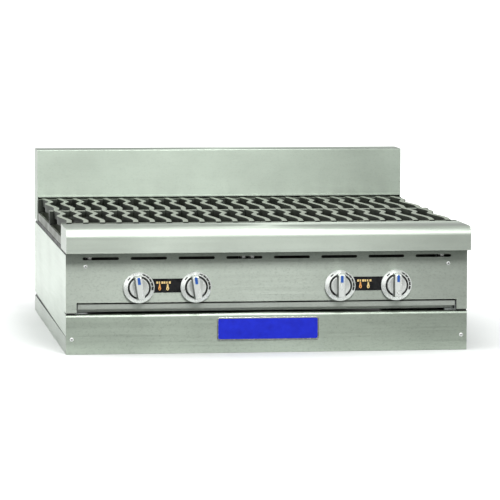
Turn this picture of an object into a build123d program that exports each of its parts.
from build123d import *

import os

# A countertop gas charbroiler with a burner zone under each column of grates. +X is the user's
# right, +Y the back and +Z up. The origin is the centre of the footprint, on the surface that
# the cabinet stands on. All sizes are in millimetres.

os.makedirs("parts", exist_ok=True)

# ---------------------------------------------------------------- overall sizes
cabinet_width = 914.4  # across the outer faces of the side panels
overall_depth = 965.2  # nose of the landing ledge to the back of the backguard
overall_height = 406.4  # surface to the top of the backguard

# ---------------------------------------------------------------- sheet and clearances
sheet = 1.5  # stainless covers
plate = 2.5  # painted steel of the chassis
firebox_sheet = 2.0
slide_gap = 0.3  # drip tray over its runners
side_gap = 2.0  # drip tray beside its runners
notch_gap = 3.3  # drip tray beside the notch it slides through
grate_gap = 1.6  # between neighbouring grates
shaft_gap = 0.05  # knob stem in its valve bore, on the radius
hole_gap = 0.3  # pipes and tubes through sheet, on the radius

# ---------------------------------------------------------------- casing
ledge_overhang = 34.0  # nose of the ledge in front of the control panel
ledge_depth = 146.0
ledge_bottom = 230.0
ledge_top = 284.4
ledge_nose_radius = 18.5
ledge_hem = 40.0
skirt_height = 38.0
base_flange = 50.0
lower_panel_top = 90.0
lower_panel_return = 15.0
lower_panel_edge_radius = 7.0
lower_panel_shelf = 12.0
control_panel_bottom = 93.0
control_panel_return = 20.0
side_panel_front_bottom = 40.5  # the panel's lower edge rises towards the back
side_panel_rear_bottom = 46.5
side_panel_top = 223.0  # below the firebox flange, so that a dark gap shows
side_panel_hem = 12.0
side_seam_length = 38.0  # seam between the two front panels, carried round the corner
side_seam_height = 3.0
backguard_depth = 88.0
backguard_front_bottom = 290.0
backguard_lip = 3.0
backguard_flange = 14.0
rear_cover_inset = 4.0
back_panel_inset = 25.0
back_panel_bottom = 42.0

# ---------------------------------------------------------------- chassis
sill_flange = 30.7
sill_top = 120.0
rail_web_bottom = 205.0
rail_flange = 16.0
upright_thickness = 4.0
upright_side_width = 26.0
upright_front_width = 19.0
screw_tab_width = 55.5
screw_tab_height = 22.0

# ---------------------------------------------------------------- firebox and cooking top
firebox_side_gap = 33.2  # firebox wall to the side panel's outer face
firebox_end_gap = 1.4  # firebox wall beyond the ends of the grates
firebox_top = 234.0
firebox_bottom_lip = 25.0
firebox_front_flange = 18.0
firebox_flange_gap = 1.7  # flange edge to the side panel's inner face
radiant_ledge_width = 25.0
ledge_to_grate = 8.0
grate_to_backguard = 6.0
grate_row_gap = 3.0
columns = 4
rows = 2
bars_per_grate = 6
grate_top = 287.0
bar_height = 19.0
bar_width = 12.5
bar_shift = -3.0  # the bars swing further right than left, so they start left of centre
bar_wave = ((1.0, 0.0), (0.72, 9.0), (0.54, -5.0), (0.18, 7.0), (0.0, 2.0))  # share of length, swing
grate_leg_drop = 33.5
grate_leg_width = 17.0
grate_leg_length = 14.0
crossbar_drop = 2.0
crossbar_height = 14.0
crossbar_width = 9.0
beam_width = 36.0
beam_plate = 3.0
beam_end_gap = 0.3
trough_rail_thickness = 5.0
trough_rail_height = 18.5
trough_rail_inset = 1.2
trough_rail_joint = 280.0  # joint between the two lengths, from the ledge
trough_rail_joint_gap = 1.0

# ---------------------------------------------------------------- burners and radiants
burner_radius = 16.0
burner_wall = 1.5
burner_tip_inset = 22.2  # outside of the U bend to the firebox's back wall
burner_blind_inset = 30.0  # closed end of the second leg to the firebox's front wall
burner_mouth_reach = 48.0  # open end of the inlet leg in front of the firebox
port_radius = 1.6
port_pitch = 26.0
port_end_inset = 30.0
radiant_wing = 24.2  # sheet beyond each leg of the burner
radiant_eave_z = 185.0
radiant_ridge_rise = 28.0
radiant_sheet = 2.0
radiant_flat = 4.0
radiant_end_gap = 12.0
shutter_wall = 1.5
shutter_length = 20.0
shutter_inset = 2.0
shutter_rim = 4.0  # metal left each side of the air window
support_width = 25.0

# ---------------------------------------------------------------- gas train
manifold_radius = 13.35
manifold_wall = 2.8
manifold_setback = 43.6  # manifold centre behind the control panel
manifold_z = 184.0
manifold_end_inset = 42.0
supply_radius = 10.65
supply_wall = 2.7
supply_side_inset = 17.2  # supply pipe centre to the side panel's outer face
supply_bend = 20.0
regulator_length = 61.0
regulator_width = 56.0
regulator_height = 34.0
regulator_dome_radius = 24.0
regulator_dome_rise = 26.0
regulator_inset = 92.0  # its right end to the side panel's outer face
regulator_to_back = 57.6  # pipe centre behind the firebox to the back of the cabinet
inlet_radius = 13.35  # outside of a 3/4 in pipe nipple
inlet_run = 35.0
inlet_bend = 14.0
inlet_end_inset = 1.6
inlet_nipple_length = 20.0  # thread left free for the gas union
inlet_collar_radius = 18.0
valve_width = 26.0
valve_depth = 36.0
valve_height = 26.0
valve_setback = 24.6  # valve body behind the control panel
valve_boss_radius = 9.0
valve_boss_length = 6.0
valve_neck_radius = 8.0
stem_radius = 4.0
stem_seat_depth = 19.0
stem_end_gap = 1.0
stem_socket_depth = 17.0
hood_radius = 8.0
hood_tip_radius = 4.0
hood_length = 16.0
pilot_valve_side_inset = 55.2
pilot_valve_middle_x = (-54.0, -34.0)
pilot_burner_middle_x = (-54.0, 54.0)
pilot_valve_width = 12.0
pilot_valve_top = 221.0
pilot_screw_z = 215.0
pilot_screw_radius = 4.0
pilot_screw_reach = 28.0
tube_radius = 3.0
tube_bend = 8.0
tube_drop_gap = 35.0  # down run of the pilot tubes in front of the firebox
pilot_tube_z = 172.0
pilot_burner_radius = 4.0
pilot_burner_length = 30.0

# ---------------------------------------------------------------- knobs and trim
knob_spacing = 129.0  # between the two knobs of a pair
knob_z = 150.0
knob_skirt_radius = 35.0
knob_skirt_edge = 3.5
knob_ring_radius = 26.5
knob_ring_height = 9.0
knob_plateau_radius = 21.5
knob_plateau_height = 13.0
knob_depth = 30.0
knob_lean = (9.0, 9.0, 0.0, 0.0)  # degrees each grip rests turned anticlockwise, left to right
knob_panel_gap = 2.0
grip_width = 20.0
grip_length = 56.0
grip_root = 6.0  # height above the knob's back at which the grip starts, within the skirt
grip_taper = 5.0
grip_edge_radius = 1.5
stem_hole_radius = 6.0
label_width = 78.0
label_height = 31.5
label_thickness = 0.6
label_z = 153.5
slot_length = 82.0
slot_height = 6.4
slot_z = 215.4
slot_end_inset = 78.5  # centre of the outermost slot to the side panel's outer face
slot_count = 8
notch_side_inset = 24.2  # side of the tray notch to the side panel's outer face
notch_top = 116.0
badge_width = 232.0
badge_height = 52.0
badge_thickness = 2.0
badge_corner = 6.0
badge_z = 54.0

# ---------------------------------------------------------------- screws
screw_head_radius = 4.6
screw_head_height = 2.2
screw_head_bevel = 1.5
screw_shank_radius = 2.3
screw_hole_radius = 2.5
screw_length = 9.0
panel_screw_inset = 44.2
panel_screw_z = 198.0
lower_screw_inset = 13.2
lower_screw_z = 34.0
cover_screw_inset = 46.0
cover_screw_count = 4
cover_side_screw_z = 262.0
back_screw_drop = 14.0

# ---------------------------------------------------------------- drip tray
tray_wall = 1.2
tray_bottom = 93.0
tray_lip_top = 112.1
tray_lip_bottom = 101.3
tray_lip_setback = 4.0
tray_front_setback = 28.0
tray_rear_gap = 40.0
runner_shelf = 24.0
runner_thickness = 2.0

# ---------------------------------------------------------------- mounting holes for legs or a stand
leg_hole_radius = 6.5
leg_hole_side_inset = 42.2
leg_hole_end_inset = 49.85

# ---------------------------------------------------------------- places worked out from the above
half_width = cabinet_width / 2
inner_x = half_width - sheet
nose_y = -overall_depth / 2
back_y = overall_depth / 2
panel_y = nose_y + ledge_overhang
frame_y = panel_y + sheet
ledge_back_y = nose_y + ledge_depth
backguard_y = back_y - backguard_depth
chassis_front_y = frame_y + sheet
chassis_rear_y = back_y - back_panel_inset
flange_z = firebox_top - sheet

column_pitch = cabinet_width / columns
grate_width = column_pitch - grate_gap
bar_pitch = column_pitch / bars_per_grate
grate_front_y = ledge_back_y + ledge_to_grate
grate_back_y = backguard_y - grate_to_backguard
grate_length = (grate_back_y - grate_front_y - grate_row_gap * (rows - 1)) / rows
grate_foot_z = grate_top - grate_leg_drop
firebox_x = half_width - firebox_side_gap
firebox_inner_x = firebox_x - firebox_sheet
firebox_y = (grate_front_y - firebox_end_gap, grate_back_y + firebox_end_gap)
firebox_inner_y = (firebox_y[0] + firebox_sheet, firebox_y[1] - firebox_sheet)

# A pair of knobs stands each side of the seam between two columns, and each burner's inlet leg
# is in line with its knob. Its second leg is as far on the other side of the column's middle.
pair_x = (-column_pitch, column_pitch)
knob_x = [middle + side * knob_spacing / 2 for middle in pair_x for side in (-1, 1)]
burner_leg_spacing = column_pitch - knob_spacing
second_leg_x = [x + way * burner_leg_spacing for x, way in zip(knob_x, (-1, 1, -1, 1))]
burner_x = [(inlet + second) / 2 for inlet, second in zip(knob_x, second_leg_x)]
burner_z = knob_z
burner_mouth_y = firebox_y[0] - burner_mouth_reach
burner_bend_y = firebox_y[1] - burner_tip_inset - burner_radius - burner_leg_spacing / 2
burner_blind_y = firebox_y[0] + burner_blind_inset

manifold_y = panel_y + manifold_setback
manifold_end_x = half_width - manifold_end_inset
valve_y = (panel_y + valve_setback, panel_y + valve_setback + valve_depth)
valve_boss_y = valve_y[0] - valve_boss_length
knob_back_y = panel_y - knob_panel_gap
stem_y = (knob_back_y - stem_socket_depth, valve_boss_y + stem_seat_depth - stem_end_gap)
pilot_valve_side_x = half_width - pilot_valve_side_inset
pilot_valve_x = (-pilot_valve_side_x, *pilot_valve_middle_x, pilot_valve_side_x)
pilot_burner_x = (-pilot_valve_side_x, *pilot_burner_middle_x, pilot_valve_side_x)
supply_x = half_width - supply_side_inset
supply_rear_y = back_y - regulator_to_back
regulator_x = (half_width - regulator_inset - regulator_length, half_width - regulator_inset)
inlet_x = regulator_x[0] - inlet_run
inlet_end_y = back_y - inlet_end_inset

notch_x = half_width - notch_side_inset
tray_x = notch_x - notch_gap
tray_y = (panel_y + tray_front_setback, chassis_rear_y - tray_rear_gap)
slot_pitch = 2 * (half_width - slot_end_inset) / (slot_count - 1)
frame_middle_y = (frame_y + back_y) / 2
leg_hole_spacing_x = 2 * (half_width - leg_hole_side_inset)
leg_hole_spacing_y = back_y - frame_y - 2 * leg_hole_end_inset

panel_screw_x = half_width - panel_screw_inset
lower_screw_x = half_width - lower_screw_inset
rear_cover_y = back_y - rear_cover_inset
cover_top_z = overall_height - sheet
cover_screw_pitch = 2 * (half_width - cover_screw_inset) / (cover_screw_count - 1)
cover_screw_z = cover_top_z - backguard_flange / 2
cover_side_screw_x = inner_x - backguard_flange / 2
cover_screw_steps = [i - (cover_screw_count - 1) / 2 for i in range(cover_screw_count)]
cover_screws = [(step * cover_screw_pitch, cover_screw_z) for step in cover_screw_steps]
cover_screws += [(-cover_side_screw_x, cover_side_screw_z), (cover_side_screw_x, cover_side_screw_z)]
back_screw_z = flange_z - back_screw_drop
back_screws = [(x, back_screw_z) for x, z in cover_screws[:cover_screw_count]]


# ---------------------------------------------------------------- helpers
BASE = (Align.CENTER, Align.CENTER, Align.MIN)  # a round bar stands on the plane it is placed on


def save(piece, node):
    """Label one finished sub-part and write it to its own STEP file."""
    piece.part.label = node
    export_step(piece.part, f"parts/{node}.step")


def both_sides(reach):
    """Low and high x of something as wide as this on each side of the middle."""
    return (-reach, reach)


def on_side(side, first, second):
    """Low and high x of something on the left (-1) or right (1) side."""
    return tuple(sorted((side * first, side * second)))


def slab(x, y, z, mode=Mode.ADD):
    """Add or cut a rectangular block, given its low and high x, y and z."""
    with Locations(((x[0] + x[1]) / 2, (y[0] + y[1]) / 2, (z[0] + z[1]) / 2)):
        Box(x[1] - x[0], y[1] - y[0], z[1] - z[0], mode=mode)


def rod(start, end, radius, mode=Mode.ADD):
    """Add or cut a straight round bar between two points."""
    way = Vector(*end) - Vector(*start)
    with Locations(Plane(origin=start, z_dir=way)):
        Cylinder(radius, way.length, align=BASE, mode=mode)


def bent_rod(points, radius, bend, mode=Mode.ADD):
    """Add or cut a round bar that follows straight runs joined by equal bends."""
    with BuildLine() as route:
        FilletPolyline(*points, radius=bend)
    with BuildSketch(Plane(origin=route.line @ 0, z_dir=route.line % 0)) as section:
        Circle(radius)
    sweep(section.sketch, path=route.line, mode=mode)


# ================================================================ base and chassis
with BuildPart() as base_frame:
    frame_span = (frame_y, back_y)
    slab(both_sides(half_width), frame_span, (0, skirt_height))
    inside_y = (frame_y + sheet, back_y - sheet)
    slab(both_sides(inner_x), inside_y, (plate, skirt_height), Mode.SUBTRACT)
    opening_y = (inside_y[0] + base_flange, inside_y[1] - base_flange)
    slab(both_sides(inner_x - base_flange), opening_y, (0, plate), Mode.SUBTRACT)
    for side in (-1, 1):
        corner_y = (frame_y, panel_y + lower_panel_return)
        slab(on_side(side, inner_x, half_width), corner_y, (0, skirt_height), Mode.SUBTRACT)
        screw_start = (side * lower_screw_x, frame_y, lower_screw_z)
        screw_end = (side * lower_screw_x, frame_y + sheet, lower_screw_z)
        rod(screw_start, screw_end, screw_hole_radius, Mode.SUBTRACT)
    with BuildSketch(Plane.XY):
        with Locations((0, frame_middle_y)):
            with GridLocations(leg_hole_spacing_x, leg_hole_spacing_y, 2, 2):
                Circle(leg_hole_radius)
    extrude(amount=plate, mode=Mode.SUBTRACT)
save(base_frame, "base_frame")

with BuildPart() as chassis_frame:
    sill_y = (chassis_front_y, chassis_rear_y)
    rail_y = (frame_y + upright_side_width, chassis_rear_y)
    front_upright_z = (skirt_height, ledge_bottom - sheet)
    tab_z = (panel_screw_z - screw_tab_height / 2, panel_screw_z + screw_tab_height / 2)
    upright_face_y = (frame_y, frame_y + upright_thickness)
    for side in (-1, 1):
        sill_x = on_side(side, inner_x - sill_flange, inner_x)
        slab(on_side(side, inner_x - plate, inner_x), sill_y, (plate, sill_top))
        slab(sill_x, sill_y, (plate, 2 * plate))
        slab(sill_x, sill_y, (sill_top - plate, sill_top))
        upright_x = on_side(side, inner_x - upright_thickness, inner_x)
        slab(upright_x, (frame_y, frame_y + upright_side_width), front_upright_z)
        slab(upright_x, (chassis_rear_y - upright_side_width, chassis_rear_y), (sill_top, flange_z))
        slab(on_side(side, inner_x - upright_front_width, inner_x), upright_face_y, front_upright_z)
        slab(on_side(side, inner_x - screw_tab_width, inner_x), upright_face_y, tab_z)
        shelf_notch_x = on_side(side, inner_x - upright_front_width, inner_x)
        notch_z = (lower_panel_top - lower_panel_edge_radius, lower_panel_top)
        slab(shelf_notch_x, (frame_y, panel_y + lower_panel_shelf), notch_z, Mode.SUBTRACT)
        slab(upright_x, rail_y, (rail_web_bottom, flange_z))
        slab(on_side(side, inner_x - rail_flange, inner_x), rail_y, (flange_z - plate, flange_z))
    cross_z = (plate, lower_panel_top - lower_panel_edge_radius)
    front_shelf_y = (chassis_front_y, chassis_front_y + upright_side_width)
    rear_shelf_y = (chassis_rear_y - upright_side_width, chassis_rear_y)
    rear_web_y = (chassis_rear_y - plate, chassis_rear_y)
    slab(both_sides(inner_x), (chassis_front_y, chassis_front_y + plate), cross_z)
    slab(both_sides(inner_x), front_shelf_y, (plate, 2 * plate))
    slab(both_sides(inner_x), rear_web_y, cross_z)
    slab(both_sides(inner_x), rear_shelf_y, (plate, 2 * plate))
    slab(both_sides(inner_x), rear_web_y, (rail_web_bottom, flange_z))
    slab(both_sides(inner_x), rear_shelf_y, (flange_z - plate, flange_z))
    for side in (-1, 1):
        for x, z in ((panel_screw_x, panel_screw_z), (lower_screw_x, lower_screw_z)):
            screw_start = (side * x, frame_y, z)
            rod(screw_start, (side * x, frame_y + screw_length, z), screw_hole_radius, Mode.SUBTRACT)
    for x, z in back_screws:
        rod((x, chassis_rear_y - plate, z), (x, chassis_rear_y, z), screw_hole_radius, Mode.SUBTRACT)
save(chassis_frame, "chassis_frame")

# ================================================================ outer casing
for side, side_name in ((-1, "left"), (1, "right")):
    with BuildPart() as side_panel:
        wall_x = on_side(side, inner_x, half_width)
        with BuildSketch(Plane.YZ.offset(wall_x[0])):
            with BuildLine():
                Polyline(
                    (frame_y, side_panel_front_bottom),
                    (back_y, side_panel_rear_bottom),
                    (back_y, side_panel_top),
                    (frame_y, side_panel_top),
                    close=True,
                )
            make_face()
        extrude(amount=sheet)
        seam_z = (lower_panel_top, lower_panel_top + side_seam_height)
        slab(wall_x, (frame_y, frame_y + side_seam_length), seam_z, Mode.SUBTRACT)
        hem_x = on_side(side, inner_x - side_panel_hem, inner_x)
        slab(hem_x, (back_y - sheet, back_y), (side_panel_rear_bottom, side_panel_top))
    save(side_panel, f"side_panel_{side_name}")

with BuildPart() as back_panel:
    back_sheet_y = (chassis_rear_y, chassis_rear_y + sheet)
    slab(both_sides(inner_x), back_sheet_y, (back_panel_bottom, flange_z))
    pipe_hole = [(inlet_x, y, manifold_z) for y in back_sheet_y]
    rod(*pipe_hole, inlet_radius + hole_gap, Mode.SUBTRACT)
    for x, z in back_screws:
        rod((x, back_sheet_y[0], z), (x, back_sheet_y[1], z), screw_hole_radius, Mode.SUBTRACT)
save(back_panel, "back_panel")

with BuildPart() as backguard_shell:
    slab(both_sides(half_width), (backguard_y, back_y), (ledge_bottom, overall_height))
    nose_edge = backguard_shell.edges().filter_by(Axis.X).group_by(Axis.Z)[-1].sort_by(Axis.Y)[0]
    fillet(nose_edge, radius=sheet)
    hollow_y = (backguard_y + sheet, back_y)
    slab(both_sides(inner_x), hollow_y, (ledge_bottom, cover_top_z), Mode.SUBTRACT)
    front_sheet_y = (backguard_y, backguard_y + sheet)
    slab(both_sides(inner_x), front_sheet_y, (ledge_bottom, backguard_front_bottom), Mode.SUBTRACT)
    lip_z = (backguard_front_bottom, backguard_front_bottom + backguard_lip)
    slab(both_sides(inner_x), (backguard_y - backguard_lip, backguard_y), lip_z)
    flange_y = (rear_cover_y - sheet, rear_cover_y)
    flange_inner_x = inner_x - backguard_flange
    slab(both_sides(inner_x), flange_y, (cover_top_z - backguard_flange, cover_top_z))
    for side in (-1, 1):
        slab(on_side(side, flange_inner_x, inner_x), flange_y, (ledge_bottom, cover_top_z))
    for x, z in cover_screws:
        rod((x, flange_y[0], z), (x, flange_y[1], z), screw_hole_radius, Mode.SUBTRACT)
save(backguard_shell, "backguard_shell")

with BuildPart() as backguard_rear_cover:
    cover_y = (rear_cover_y, rear_cover_y + sheet)
    slab(both_sides(inner_x), cover_y, (ledge_bottom, cover_top_z))
    for x, z in cover_screws:
        rod((x, cover_y[0], z), (x, cover_y[1], z), screw_hole_radius, Mode.SUBTRACT)
save(backguard_rear_cover, "backguard_rear_cover")

with BuildPart() as control_panel:
    slab(both_sides(half_width), (panel_y, frame_y), (control_panel_bottom, ledge_bottom))
    top_flange_z = (ledge_bottom - sheet, ledge_bottom)
    slab(both_sides(inner_x), (panel_y, panel_y + control_panel_return), top_flange_z)
    slab(both_sides(notch_x), (panel_y, frame_y), (control_panel_bottom, notch_top), Mode.SUBTRACT)
    with BuildSketch(Plane.XZ.offset(-frame_y)):
        with Locations((0, slot_z)):
            with GridLocations(slot_pitch, 0, slot_count, 1):
                SlotOverall(slot_length, slot_height)
        with Locations([(x, knob_z) for x in knob_x]):
            Circle(stem_hole_radius)
        with Locations((-panel_screw_x, panel_screw_z), (panel_screw_x, panel_screw_z)):
            Circle(screw_hole_radius)
    extrude(amount=sheet, mode=Mode.SUBTRACT)
save(control_panel, "control_panel")

with BuildPart() as lower_front_panel:
    with BuildSketch(Plane.YZ.offset(-half_width)) as side_view:
        with BuildLine():
            Polyline(
                (panel_y, 0),
                (panel_y, lower_panel_top),
                (panel_y + lower_panel_shelf, lower_panel_top),
                (panel_y + lower_panel_shelf, lower_panel_top - sheet),
                (frame_y, lower_panel_top - sheet),
                (frame_y, 0),
                close=True,
            )
        make_face()
        inner_corner = side_view.vertices().group_by(Axis.Y)[-2].sort_by(Axis.X)[0]
        fillet(inner_corner, radius=lower_panel_edge_radius - sheet)
        outer_corner = side_view.vertices().group_by(Axis.Y)[-1].sort_by(Axis.X)[0]
        fillet(outer_corner, radius=lower_panel_edge_radius)
    extrude(amount=cabinet_width)
    for side in (-1, 1):
        edge_x = on_side(side, inner_x, half_width)
        shelf_y = (frame_y, panel_y + lower_panel_shelf)
        slab(edge_x, shelf_y, (skirt_height, lower_panel_top), Mode.SUBTRACT)
        slab(edge_x, (frame_y, panel_y + lower_panel_return), (0, skirt_height))
    with BuildSketch(Plane.XZ.offset(-frame_y)):
        with Locations((-lower_screw_x, lower_screw_z), (lower_screw_x, lower_screw_z)):
            Circle(screw_hole_radius)
    extrude(amount=sheet, mode=Mode.SUBTRACT)
save(lower_front_panel, "lower_front_panel")


def ledge_outline(wall):
    """Side view of the landing ledge, pulled in by a wall all round."""
    front = nose_y + wall
    back = ledge_back_y - wall
    bottom = ledge_bottom + wall
    top = ledge_top - wall
    radius = ledge_nose_radius - wall
    with BuildLine() as outline:
        Line((front, bottom), (front, top - radius))
        TangentArc((front, top - radius), (front + radius, top), tangent=(0, 1))
        Polyline((front + radius, top), (back, top), (back, bottom), (front, bottom))
    make_face(outline.line.edges())


with BuildPart() as landing_ledge:
    with BuildSketch(Plane.YZ.offset(-half_width)):
        ledge_outline(0)
    extrude(amount=cabinet_width)
    with BuildSketch(Plane.YZ.offset(-half_width)):
        ledge_outline(sheet)
    extrude(amount=cabinet_width, mode=Mode.SUBTRACT)
    open_y = (nose_y + ledge_hem, ledge_back_y - sheet)
    back_flange_y = (ledge_back_y - sheet, ledge_back_y)
    slab(both_sides(half_width), open_y, (ledge_bottom, ledge_bottom + sheet), Mode.SUBTRACT)
    slab(both_sides(half_width), back_flange_y, (ledge_bottom, firebox_top), Mode.SUBTRACT)
save(landing_ledge, "landing_ledge")

for side, side_name in ((-1, "left"), (1, "right")):
    with BuildPart() as ledge_end_cap:
        cap_x = on_side(side, half_width, half_width + sheet)
        with BuildSketch(Plane.YZ.offset(cap_x[0])):
            ledge_outline(0)
        extrude(amount=sheet)
    save(ledge_end_cap, f"ledge_end_cap_{side_name}")

# ================================================================ firebox and cooking top
with BuildPart() as firebox:
    wall_z = (sill_top, firebox_top)
    flange_span = (firebox_y[0] - firebox_front_flange, chassis_rear_y)
    slab(both_sides(firebox_x), firebox_y, wall_z)
    slab(both_sides(inner_x - firebox_flange_gap), flange_span, (flange_z, firebox_top))
    slab(both_sides(firebox_inner_x), firebox_inner_y, wall_z, Mode.SUBTRACT)
    lip_z = (sill_top, sill_top + firebox_sheet)
    slab(both_sides(firebox_inner_x), firebox_inner_y, lip_z)
    grease_y = (firebox_inner_y[0] + firebox_bottom_lip, firebox_inner_y[1] - firebox_bottom_lip)
    slab(both_sides(firebox_inner_x - firebox_bottom_lip), grease_y, lip_z, Mode.SUBTRACT)
    shelf_z = (radiant_eave_z - firebox_sheet, radiant_eave_z)
    front_ledge_y = (firebox_inner_y[0], firebox_inner_y[0] + radiant_ledge_width)
    rear_ledge_y = (firebox_inner_y[1] - radiant_ledge_width, firebox_inner_y[1])
    slab(both_sides(firebox_inner_x), front_ledge_y, shelf_z)
    slab(both_sides(firebox_inner_x), rear_ledge_y, shelf_z)
    for x in knob_x:
        hole = [(x, y, burner_z) for y in (firebox_y[0], firebox_inner_y[0])]
        rod(*hole, burner_radius + hole_gap, Mode.SUBTRACT)
    for x in pilot_burner_x:
        hole = [(x, y, pilot_tube_z) for y in (firebox_y[0], firebox_inner_y[0])]
        rod(*hole, tube_radius + hole_gap, Mode.SUBTRACT)
save(firebox, "firebox")

for side, side_name in ((-1, "left"), (1, "right")):
    with BuildPart() as trough_rail:
        outer = half_width - trough_rail_inset
        rail_x = on_side(side, outer - trough_rail_thickness, outer)
        rail_z = (firebox_top, firebox_top + trough_rail_height)
        joint_y = ledge_back_y + trough_rail_joint
        slab(rail_x, (ledge_back_y, joint_y), rail_z)
        slab(rail_x, (joint_y + trough_rail_joint_gap, backguard_y), rail_z)
    save(trough_rail, f"grate_rail_{side_name}")

beam_x = half_width - trough_rail_inset - trough_rail_thickness - beam_end_gap
row_seam_y = grate_front_y + grate_length + grate_row_gap / 2
beam_overhang = beam_width / 6
beam_middles = {
    "front": grate_front_y - beam_overhang + beam_width / 2,
    "middle": row_seam_y,
    "rear": grate_back_y + beam_overhang - beam_width / 2,
}
for beam_name, middle_y in beam_middles.items():
    with BuildPart() as grate_beam:
        beam_y = (middle_y - beam_width / 2, middle_y + beam_width / 2)
        hollow_y = (beam_y[0] + beam_plate, beam_y[1] - beam_plate)
        slab(both_sides(beam_x), beam_y, (firebox_top, grate_foot_z))
        slab(both_sides(beam_x), hollow_y, (firebox_top, grate_foot_z - beam_plate), Mode.SUBTRACT)
    save(grate_beam, f"grate_beam_{beam_name}")


def wavy_bar(x, y, width):
    """Draw one bar of a grate from above: two matching waves, a bar's width apart."""
    left = [(x + swing - width / 2, y + share * grate_length) for share, swing in bar_wave]
    right = [(across + width, along) for across, along in left]
    with BuildLine() as outline:
        Spline(*left)
        Spline(*right)
        Line(left[0], right[0])
        Line(left[-1], right[-1])
    make_face(outline.line.edges())


for row in range(rows):
    for column in range(columns):
        middle_x = (column - (columns - 1) / 2) * column_pitch
        start_y = grate_front_y + row * (grate_length + grate_row_gap)
        end_y = start_y + grate_length
        grate_x = (middle_x - grate_width / 2, middle_x + grate_width / 2)
        with BuildPart() as grate:
            with BuildSketch(Plane.XY.offset(grate_top - bar_height)):
                for i in range(bars_per_grate):
                    bar_x = middle_x + bar_shift + (i - (bars_per_grate - 1) / 2) * bar_pitch
                    wavy_bar(bar_x, start_y, bar_width)
            extrude(amount=bar_height)
            crossbar_top = grate_top - crossbar_drop
            for y in ((start_y, start_y + crossbar_width), (end_y - crossbar_width, end_y)):
                slab(grate_x, y, (crossbar_top - crossbar_height, crossbar_top))
            for x in ((grate_x[0], grate_x[0] + grate_leg_width), (grate_x[1] - grate_leg_width, grate_x[1])):
                for y in ((start_y, start_y + grate_leg_length), (end_y - grate_leg_length, end_y)):
                    slab(x, y, (grate_foot_z, crossbar_top))
        save(grate, f"grate_{row * columns + column + 1}")

# ================================================================ burners and radiants
radiant_y = (firebox_inner_y[0] + radiant_end_gap, firebox_inner_y[1] - radiant_end_gap)
for number, x in enumerate(burner_x, start=1):
    ridge = burner_leg_spacing / 2
    eave = ridge + radiant_wing
    top = [(-eave, 0), (-ridge, radiant_ridge_rise), (-radiant_flat, 0)]
    top += [(-across, rise) for across, rise in reversed(top)]
    with BuildPart() as radiant:
        with BuildSketch(Plane(origin=(x, radiant_y[0], radiant_eave_z), x_dir=(1, 0, 0), z_dir=(0, -1, 0))):
            with BuildLine():
                under = [(across, rise + radiant_sheet) for across, rise in top]
                Polyline(*top, *reversed(under), close=True)
            make_face()
        extrude(amount=radiant_y[0] - radiant_y[1])
    save(radiant, f"radiant_{number}")


def burner_route(inlet_x, second_x, blind_y):
    """The middle line of one U-shaped burner, from its mouth to the end of its second leg."""
    bend_radius = abs(second_x - inlet_x) / 2
    bend_tip = ((inlet_x + second_x) / 2, burner_bend_y + bend_radius, burner_z)
    start = (inlet_x, burner_bend_y, burner_z)
    end = (second_x, burner_bend_y, burner_z)
    Line((inlet_x, burner_mouth_y, burner_z), start)
    ThreePointArc(start, bend_tip, end)
    Line(end, (second_x, blind_y, burner_z))


port_y = (burner_blind_y + port_end_inset, burner_bend_y - port_end_inset)
port_count = int((port_y[1] - port_y[0]) // port_pitch) + 1
mouth_plane = Plane.XZ.offset(-burner_mouth_y)
for number, (inlet, second) in enumerate(zip(knob_x, second_leg_x), start=1):
    with BuildPart() as burner:
        for radius, end_wall, mode in (
            (burner_radius, 0, Mode.ADD),
            (burner_radius - burner_wall, burner_wall, Mode.SUBTRACT),
        ):
            with BuildLine() as route:
                burner_route(inlet, second, burner_blind_y + end_wall)
            with BuildSketch(mouth_plane):
                with Locations((inlet, burner_z)):
                    Circle(radius)
            sweep(path=route.line, mode=mode)
        with BuildSketch(Plane.XY.offset(burner_z)):
            with Locations(((inlet + second) / 2, (port_y[0] + port_y[1]) / 2)):
                with GridLocations(abs(second - inlet), port_pitch, 2, port_count):
                    Circle(port_radius)
        extrude(amount=burner_radius + 1, mode=Mode.SUBTRACT)
    save(burner, f"burner_{number}")

with BuildPart() as air_shutters:
    for x in knob_x:
        shutter_y = (burner_mouth_y + shutter_inset, burner_mouth_y + shutter_inset + shutter_length)
        ends = [(x, y, burner_z) for y in shutter_y]
        rod(*ends, burner_radius + shutter_wall)
    for x in knob_x:
        ends = [(x, y, burner_z) for y in shutter_y]
        rod(*ends, burner_radius, Mode.SUBTRACT)
        window_y = (shutter_y[0] + shutter_rim, shutter_y[1] - shutter_rim)
        window_x = (x - burner_radius / 2, x + burner_radius / 2)
        slab(window_x, window_y, (burner_z, burner_z + burner_radius + shutter_wall), Mode.SUBTRACT)
save(air_shutters, "air_shutters")

with BuildPart() as burner_rear_support:
    support_top = burner_z - burner_radius
    support_y = (burner_bend_y - support_width / 2, burner_bend_y + support_width / 2)
    web_y = (support_y[0], support_y[0] + firebox_sheet)
    support_z = (sill_top + firebox_sheet, support_top)
    slab(both_sides(firebox_inner_x), support_y, (support_top - firebox_sheet, support_top))
    slab(both_sides(firebox_inner_x), web_y, support_z)
save(burner_rear_support, "burner_rear_support")

# ================================================================ gas train
with BuildPart() as gas_manifold:
    manifold_ends = [(x, manifold_y, manifold_z) for x in (-manifold_end_x, manifold_end_x)]
    rod(*manifold_ends, manifold_radius)
    bore_ends = [(x, manifold_y, manifold_z) for x in (manifold_wall - manifold_end_x, manifold_end_x)]
    rod(*bore_ends, manifold_radius - manifold_wall, Mode.SUBTRACT)
save(gas_manifold, "gas_manifold")

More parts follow.
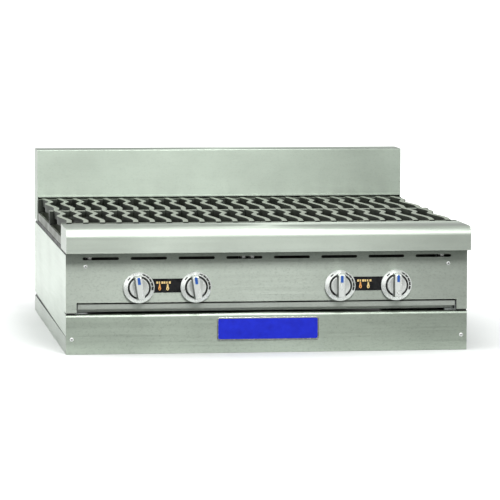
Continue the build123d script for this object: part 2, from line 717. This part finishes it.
supply_route = [
    (manifold_end_x, manifold_y, manifold_z),
    (supply_x, manifold_y, manifold_z),
    (supply_x, supply_rear_y, manifold_z),
    (regulator_x[1], supply_rear_y, manifold_z),
]
with BuildPart() as gas_supply_pipe:
    bent_rod(supply_route, supply_radius, supply_bend)
    bent_rod(supply_route, supply_radius - supply_wall, supply_bend, Mode.SUBTRACT)
save(gas_supply_pipe, "gas_supply_pipe")

with BuildPart() as regulator:
    regulator_y = (supply_rear_y - regulator_width / 2, supply_rear_y + regulator_width / 2)
    regulator_z = (manifold_z - regulator_height / 2, manifold_z + regulator_height / 2)
    slab(regulator_x, regulator_y, regulator_z)
    upright_edges = regulator.edges().filter_by(Axis.Z)
    fillet(upright_edges, radius=regulator_width / 5)
    dome_x = (regulator_x[0] + regulator_x[1]) / 2
    dome_ends = [(dome_x, supply_rear_y, z) for z in (regulator_z[1], regulator_z[1] + regulator_dome_rise)]
    rod(*dome_ends, regulator_dome_radius)
    dome_edge = regulator.edges().group_by(Axis.Z)[-1]
    fillet(dome_edge, radius=regulator_dome_rise / 3)
save(regulator, "regulator")

inlet_route = [
    (regulator_x[0], supply_rear_y, manifold_z),
    (inlet_x, supply_rear_y, manifold_z),
    (inlet_x, inlet_end_y, manifold_z),
]
collar_ends = [(inlet_x, y, manifold_z) for y in (back_sheet_y[1], inlet_end_y - inlet_nipple_length)]
with BuildPart() as gas_inlet_pipe:
    bent_rod(inlet_route, inlet_radius, inlet_bend)
    rod(*collar_ends, inlet_collar_radius)
    bent_rod(inlet_route, inlet_radius - manifold_wall, inlet_bend, Mode.SUBTRACT)
save(gas_inlet_pipe, "gas_inlet_pipe")

with BuildPart() as gas_valves:
    body_z = (knob_z - valve_height / 2, knob_z + valve_height / 2)
    for x in knob_x:
        slab((x - valve_width / 2, x + valve_width / 2), valve_y, body_z)
        rod((x, valve_y[0], knob_z), (x, valve_boss_y, knob_z), valve_boss_radius)
        rod((x, manifold_y, body_z[1]), (x, manifold_y, manifold_z), valve_neck_radius)
    rod(*manifold_ends, manifold_radius, Mode.SUBTRACT)
    for x in knob_x:
        bore_end = (x, valve_boss_y + stem_seat_depth, knob_z)
        rod((x, valve_boss_y, knob_z), bore_end, stem_radius + shaft_gap, Mode.SUBTRACT)
save(gas_valves, "gas_valves")

with BuildPart() as orifice_hoods:
    for x in knob_x:
        hood_plane = Plane(origin=(x, valve_y[1], knob_z), z_dir=(0, 1, 0))
        with BuildSketch(hood_plane):
            RegularPolygon(hood_radius, 6)
        with BuildSketch(hood_plane.offset(hood_length)):
            Circle(hood_tip_radius)
        loft()
save(orifice_hoods, "orifice_hoods")

with BuildPart() as pilot_valves:
    half = pilot_valve_width / 2
    for x in pilot_valve_x:
        slab((x - half, x + half), (manifold_y - half, manifold_y + half), (manifold_z, pilot_valve_top))
        screw_tip = (x, manifold_y - pilot_screw_reach, pilot_screw_z)
        rod((x, manifold_y - half, pilot_screw_z), screw_tip, pilot_screw_radius)
    rod(*manifold_ends, manifold_radius, Mode.SUBTRACT)
save(pilot_valves, "pilot_valves")

tube_drop_y = firebox_y[0] - tube_drop_gap
with BuildPart() as pilot_tubes:
    for valve_x, burner_end_x in zip(pilot_valve_x, pilot_burner_x):
        tube_route = [
            (valve_x, manifold_y + pilot_valve_width / 2, pilot_screw_z),
            (valve_x, tube_drop_y, pilot_screw_z),
            (valve_x, tube_drop_y, pilot_tube_z),
        ]
        if burner_end_x != valve_x:
            tube_route.append((burner_end_x, tube_drop_y, pilot_tube_z))
        tube_route.append((burner_end_x, burner_blind_y, pilot_tube_z))
        bent_rod(tube_route, tube_radius, tube_bend)
save(pilot_tubes, "pilot_tubes")

with BuildPart() as pilot_burners:
    for x in pilot_burner_x:
        ends = [(x, y, pilot_tube_z) for y in (burner_blind_y, burner_blind_y + pilot_burner_length)]
        rod(*ends, pilot_burner_radius)
save(pilot_burners, "pilot_burners")

# ================================================================ knobs and their stems
for number, (x, lean) in enumerate(zip(knob_x, knob_lean), start=1):
    axis_point = (x, knob_back_y, knob_z)
    across = Vector(1, 0, 0).rotate(Axis.Y, -lean)
    with BuildPart() as knob:
        with BuildSketch(Plane(origin=axis_point, x_dir=(1, 0, 0), z_dir=(0, 0, 1))):
            with BuildLine():
                Polyline(
                    (0, 0),
                    (knob_skirt_radius, 0),
                    (knob_skirt_radius, -knob_skirt_edge),
                    (knob_ring_radius, -knob_ring_height),
                    (knob_plateau_radius + 1, -knob_ring_height),
                    (knob_plateau_radius, -knob_plateau_height),
                    (0, -knob_plateau_height),
                    close=True,
                )
            make_face()
        revolve(axis=Axis(axis_point, (0, 1, 0)))
        grip_plane = Plane(origin=axis_point, x_dir=across, z_dir=(0, -1, 0))
        with BuildSketch(grip_plane.offset(grip_root)):
            Rectangle(grip_width, grip_length)
        extrude(amount=knob_depth - grip_root, taper=grip_taper)
        grip_edges = knob.edges().group_by(Axis.Y)[0]
        fillet(grip_edges, radius=grip_edge_radius)
        rod(axis_point, (x, stem_y[0], knob_z), stem_radius, Mode.SUBTRACT)
    save(knob, f"knob_{number}")

    with BuildPart() as valve_stem:
        rod((x, stem_y[0], knob_z), (x, stem_y[1], knob_z), stem_radius)
    save(valve_stem, f"valve_stem_{number}")

# ================================================================ labels, badge and screws
with BuildPart() as burner_labels:
    with BuildSketch(Plane.XZ.offset(-panel_y)):
        with Locations([(x, label_z) for x in pair_x]):
            Rectangle(label_width, label_height)
    extrude(amount=label_thickness)
save(burner_labels, "burner_labels")

with BuildPart() as badge_plate:
    with BuildSketch(Plane.XZ.offset(-panel_y)):
        with Locations((0, badge_z)):
            RectangleRounded(badge_width, badge_height, badge_corner)
    extrude(amount=badge_thickness)
save(badge_plate, "badge_plate")


def dome_screw(x, face_y, z, outward):
    """A pan-head screw on a face across Y; outward is -1 at the front and 1 at the back."""
    face = (x, face_y, z)
    rod(face, (x, face_y - outward * screw_length, z), screw_shank_radius)
    with Locations(Plane(origin=face, z_dir=(0, outward, 0))):
        Cone(screw_head_radius, screw_head_radius - screw_head_bevel, screw_head_height, align=BASE)


with BuildPart() as panel_screws:
    for side in (-1, 1):
        dome_screw(side * panel_screw_x, panel_y, panel_screw_z, -1)
        dome_screw(side * lower_screw_x, panel_y, lower_screw_z, -1)
save(panel_screws, "panel_screws")

with BuildPart() as rear_screws:
    for x, z in cover_screws:
        dome_screw(x, rear_cover_y + sheet, z, 1)
    for x, z in back_screws:
        dome_screw(x, chassis_rear_y + sheet, z, 1)
save(rear_screws, "rear_screws")

# ================================================================ drip tray and its runners
with BuildPart() as drip_tray:
    slab(both_sides(tray_x), tray_y, (tray_bottom, tray_lip_top))
    inside_x = tray_x - tray_wall
    inside_y = (tray_y[0] + tray_wall, tray_y[1] - tray_wall)
    slab(both_sides(inside_x), inside_y, (tray_bottom + tray_wall, tray_lip_top), Mode.SUBTRACT)
    lip_y = panel_y + tray_lip_setback
    slab(both_sides(tray_x), (lip_y, tray_y[0]), (tray_lip_top - tray_wall, tray_lip_top))
    slab(both_sides(tray_x), (lip_y, lip_y + tray_wall), (tray_lip_bottom, tray_lip_top))
save(drip_tray, "drip_tray")

runner_y = (panel_y + lower_panel_shelf, tray_y[1])
shelf_top = tray_bottom - slide_gap
for side, side_name in ((-1, "left"), (1, "right")):
    with BuildPart() as tray_runner:
        wall = tray_x + side_gap
        hanger_z = (shelf_top - runner_thickness, sill_top - plate)
        slab(on_side(side, wall, wall + runner_thickness), runner_y, hanger_z)
        shelf_x = on_side(side, wall - runner_shelf, wall + runner_thickness)
        slab(shelf_x, runner_y, (shelf_top - runner_thickness, shelf_top))
    save(tray_runner, f"tray_runner_{side_name}")
